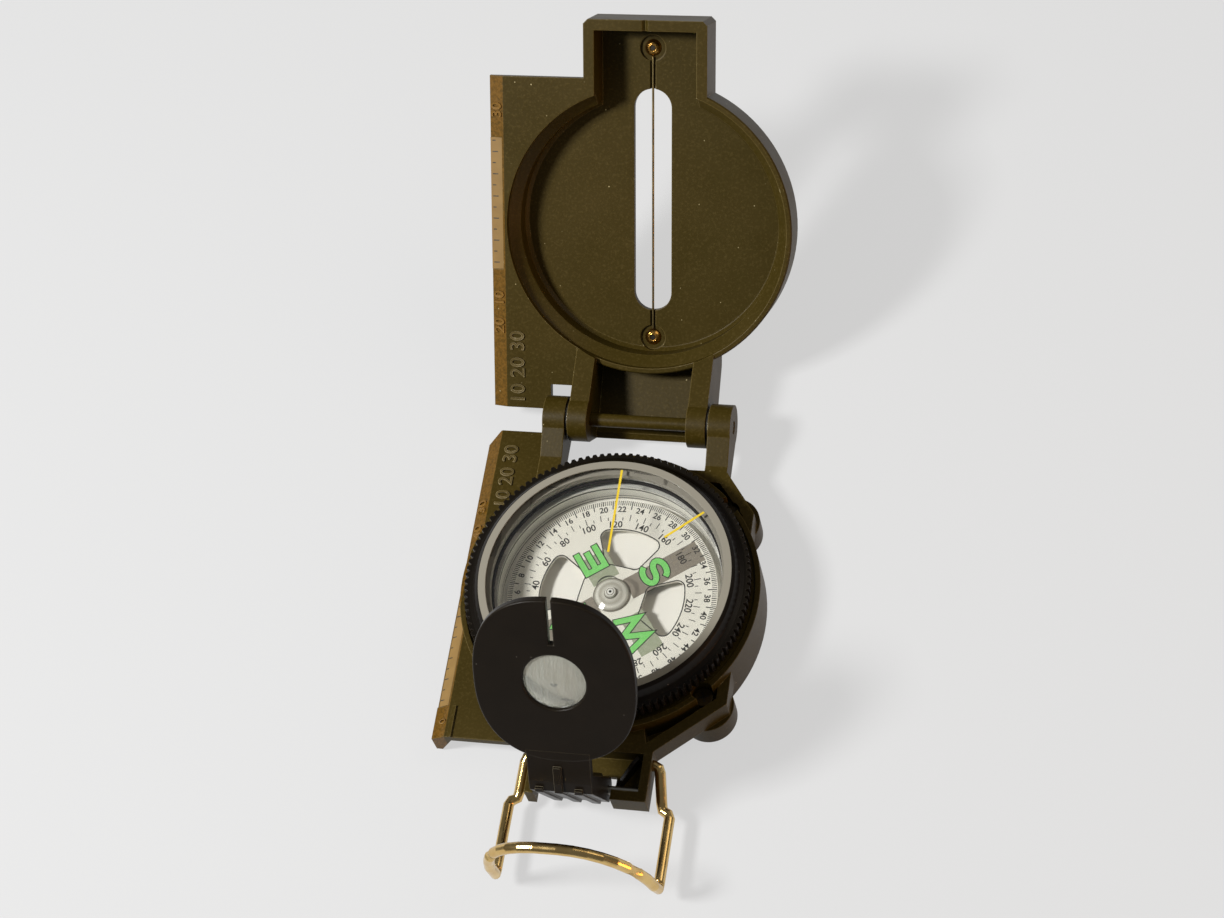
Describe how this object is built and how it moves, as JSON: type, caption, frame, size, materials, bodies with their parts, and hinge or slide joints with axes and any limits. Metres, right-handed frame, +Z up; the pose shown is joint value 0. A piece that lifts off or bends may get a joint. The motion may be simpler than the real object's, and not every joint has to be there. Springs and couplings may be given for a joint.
{
  "type": "sighting compass",
  "caption": "Folding magnetic sighting compass: toothed bezel over a floating dial, hinged cover with a wire sight, lens eyepiece and wire thumb loop.",
  "frame": {"origin": "under the dial's centre, on the plane of the case's underside and feet", "axes": "+X to the side away from the ruler edge, +Y from the dial to the cover's hinge, +Z up out of the dial"},
  "size_m": [0.0543, 0.1459, 0.0553],
  "materials": {
    "olive_paint": "satin olive paint on die-cast aluminium",
    "olive_pin": "painted steel",
    "dark_screws": "painted steel",
    "scale_strip": "matt tan strip",
    "steel": "satin",
    "black_rubber": "matt",
    "capsule_white": "satin, light grey inside",
    "clear_lid": "clear moulding",
    "brass": "bright drawn wire",
    "black_spring": "blackened spring steel",
    "black_plastic": "satin black moulding",
    "bezel_glass": "polished",
    "yellow_ink": "printed",
    "dial_card": "printed, matt white",
    "magnet": "sintered",
    "clear_hub": "clear moulding",
    "lens_glass": "polished"
  },
  "bodies": {
    "root": {"base_case": "olive_paint", "case_screws": "dark_screws", "base_scale_strip": "scale_strip", "hinge_pin": "olive_pin", "hinge_washers": "steel", "capsule_cushion": "black_rubber", "capsule_cup": "capsule_white", "capsule_lid": "clear_lid", "capsule_seal": "black_rubber", "pivot_post": "brass", "bezel_retainer": "steel", "click_spring": "steel", "eyepiece_pin": "steel", "eyepiece_spring": "black_spring"},
    "bezel": {"bezel_ring": "black_plastic", "bezel_glass": "bezel_glass", "bezel_lines": "yellow_ink"},
    "card": {"dial_card": "dial_card", "magnet_bar": "magnet", "jewel_cup": "clear_hub"},
    "cover": {"cover_shell": "olive_paint", "cover_scale_strip": "scale_strip", "sighting_wire": "steel", "wire_rivets": "brass"},
    "eyepiece": {"eyepiece_frame": "black_plastic", "eyepiece_lens": "lens_glass"},
    "loop": {"thumb_loop": "brass"}
  },
  "joints": [
    {"name": "cover_hinge", "type": "hinge", "parent": "root", "child": "cover", "pos_m": [0, 0.034, 0.0093], "axis": [1, 0, 0], "range_deg": [-44, 136]},
    {"name": "eyepiece_hinge", "type": "hinge", "parent": "root", "child": "eyepiece", "pos_m": [0, -0.0354, 0.0081], "axis": [1, 0, 0], "range_deg": [-58, 18.8]},
    {"name": "loop_swing", "type": "hinge", "parent": "root", "child": "loop", "pos_m": [0, -0.0301, 0.0073], "axis": [1, 0, 0], "range_deg": [-20, 70]},
    {"name": "bezel_turn", "type": "hinge", "parent": "root", "child": "bezel", "pos_m": [0, 0, 0.013], "axis": [0, 0, 1], "continuous": true},
    {"name": "card_turn", "type": "hinge", "parent": "root", "child": "card", "pos_m": [0, 0, 0.009], "axis": [0, 0, 1], "continuous": true}
  ],
  "couplings": [
    {"joint": "eyepiece_hinge", "follows": "cover_hinge", "ratio": -0.42647}
  ]
}
